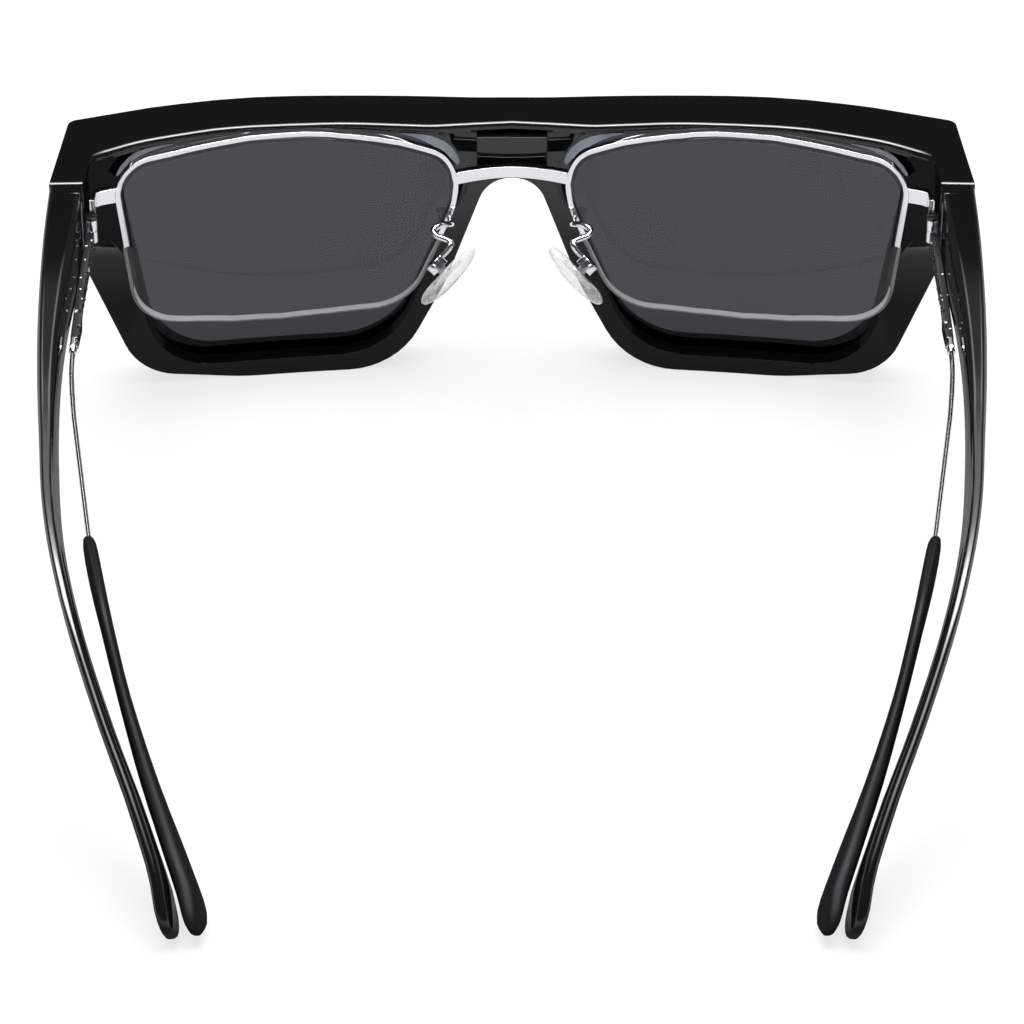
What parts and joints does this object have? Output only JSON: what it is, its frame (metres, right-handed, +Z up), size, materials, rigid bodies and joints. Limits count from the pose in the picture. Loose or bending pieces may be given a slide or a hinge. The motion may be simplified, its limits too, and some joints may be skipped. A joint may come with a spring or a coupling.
{
  "type": "fit-over sunglasses",
  "caption": "Gloss black fit-over sunglasses with tinted lenses, nested over half-rim metal glasses with clear lenses, folding temples and nose pads.",
  "frame": {"origin": "middle of the footprint, on the surface that the rims and the temple tips rest on", "axes": "+Y the way the wearer looks, +X the wearer's right, +Z up"},
  "size_m": [0.1446, 0.1621, 0.0467],
  "materials": {
    "black_acetate": "high gloss black",
    "tinted_lens": "grey tint, polished",
    "hinge_steel": "plain steel",
    "polished_metal": "polished, plated",
    "clear_lens": "clear, polished",
    "nylon_cord": "clear nylon",
    "black_screw": "black",
    "black_sleeve": "satin black, ribbed",
    "black_tip": "satin black",
    "clear_insert": "clear",
    "clear_pad": "clear, soft"
  },
  "bodies": {
    "sun_front": {"sun_front": "black_acetate", "sun_lens_left": "tinted_lens", "sun_lens_right": "tinted_lens", "sun_front_hinge_left": "hinge_steel", "sun_front_hinge_right": "hinge_steel", "sun_hinge_screw_left": "hinge_steel", "sun_hinge_screw_right": "hinge_steel"},
    "sun_temple_left": {"sun_temple_left": "black_acetate", "sun_temple_hinge_left": "hinge_steel"},
    "sun_temple_right": {"sun_temple_right": "black_acetate", "sun_temple_hinge_right": "hinge_steel"},
    "optical_front": {"optical_bridge": "polished_metal", "optical_rim_left": "polished_metal", "optical_lens_left": "clear_lens", "optical_nylon_left": "nylon_cord", "optical_endpiece_left": "polished_metal", "optical_hinge_screw_left": "black_screw", "pad_arm_left": "polished_metal", "pad_box_left": "polished_metal", "pad_screw_left": "polished_metal", "optical_rim_right": "polished_metal", "optical_lens_right": "clear_lens", "optical_nylon_right": "nylon_cord", "optical_endpiece_right": "polished_metal", "optical_hinge_screw_right": "black_screw", "pad_arm_right": "polished_metal", "pad_box_right": "polished_metal", "pad_screw_right": "polished_metal"},
    "optical_temple_left": {"optical_temple_left": "polished_metal", "optical_sleeve_left": "black_sleeve", "optical_clasp_left": "polished_metal", "optical_tip_left": "black_tip"},
    "optical_temple_right": {"optical_temple_right": "polished_metal", "optical_sleeve_right": "black_sleeve", "optical_clasp_right": "polished_metal", "optical_tip_right": "black_tip"},
    "nose_pad_left": {"nose_pad_left": "clear_pad", "pad_insert_left": "clear_insert"},
    "nose_pad_right": {"nose_pad_right": "clear_pad", "pad_insert_right": "clear_insert"}
  },
  "joints": [
    {"name": "sun_fold_left", "type": "hinge", "parent": "sun_front", "child": "sun_temple_left", "pos_m": [-0.0683, 0.05006, 0.0396], "axis": [0, 0, 1], "range_deg": [0, 80]},
    {"name": "sun_fold_right", "type": "hinge", "parent": "sun_front", "child": "sun_temple_right", "pos_m": [0.0683, 0.05006, 0.0396], "axis": [0, 0, -1], "range_deg": [0, 65]},
    {"name": "optical_lift", "type": "slide", "parent": "sun_front", "child": "optical_front", "axis": [0, 0, 1], "range_m": [0, 0.06]},
    {"name": "optical_fold_left", "type": "hinge", "parent": "optical_front", "child": "optical_temple_left", "pos_m": [-0.0659, 0.05196, 0.03765], "axis": [0, 0, 1], "range_deg": [0, 82]},
    {"name": "optical_fold_right", "type": "hinge", "parent": "optical_front", "child": "optical_temple_right", "pos_m": [0.0659, 0.05196, 0.03765], "axis": [0, 0, -1], "range_deg": [0, 67]},
    {"name": "pad_rock_left", "type": "hinge", "parent": "optical_front", "child": "nose_pad_left", "pos_m": [-0.012, 0.05886, 0.027], "axis": [0.2658, 0.9397, -0.2152], "range_deg": [-8, 8]},
    {"name": "pad_rock_right", "type": "hinge", "parent": "optical_front", "child": "nose_pad_right", "pos_m": [0.012, 0.05886, 0.027], "axis": [-0.2658, 0.9397, -0.2152], "range_deg": [-8, 8]}
  ],
  "couplings": [
    {"joint": "optical_fold_left", "follows": "sun_fold_left", "ratio": 1.025},
    {"joint": "optical_fold_right", "follows": "sun_fold_right", "ratio": 1.025}
  ]
}
